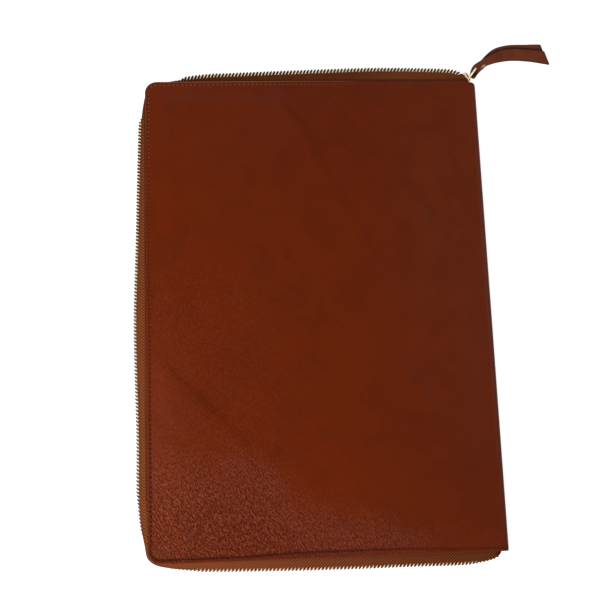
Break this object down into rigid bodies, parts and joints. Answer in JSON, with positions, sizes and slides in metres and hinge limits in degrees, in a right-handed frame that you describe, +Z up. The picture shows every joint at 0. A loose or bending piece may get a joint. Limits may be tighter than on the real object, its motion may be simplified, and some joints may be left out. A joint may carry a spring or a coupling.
{
  "type": "laptop sleeve",
  "caption": "Flat leather laptop sleeve folded along one long side, closed round the other three by a metal zip with a leather pull strap.",
  "frame": {"origin": "centre of the flat back panel's outer face, where the sleeve lies on the floor", "axes": "+X towards the folded side, +Y along the fold towards the end with the slider, +Z up out of the front panel"},
  "size_m": [0.3119, 0.3811, 0.0147],
  "materials": {
    "cover_leather": "semi-matt chestnut brown, waxed, with a faint pebbled grain",
    "zip_tape": "matt woven herringbone tape, reddish tan",
    "zip_brass": "polished pale brass",
    "strap_leather": "semi-matt brown leather with dark cut edges"
  },
  "bodies": {
    "root": {"leather_cover": "cover_leather", "zip_tape_upper": "zip_tape", "zip_tape_lower": "zip_tape", "zip_chain": "zip_brass", "zip_slider": "zip_brass", "pull_ring": "zip_brass", "pull_strap": "strap_leather"}
  },
  "joints": []
}
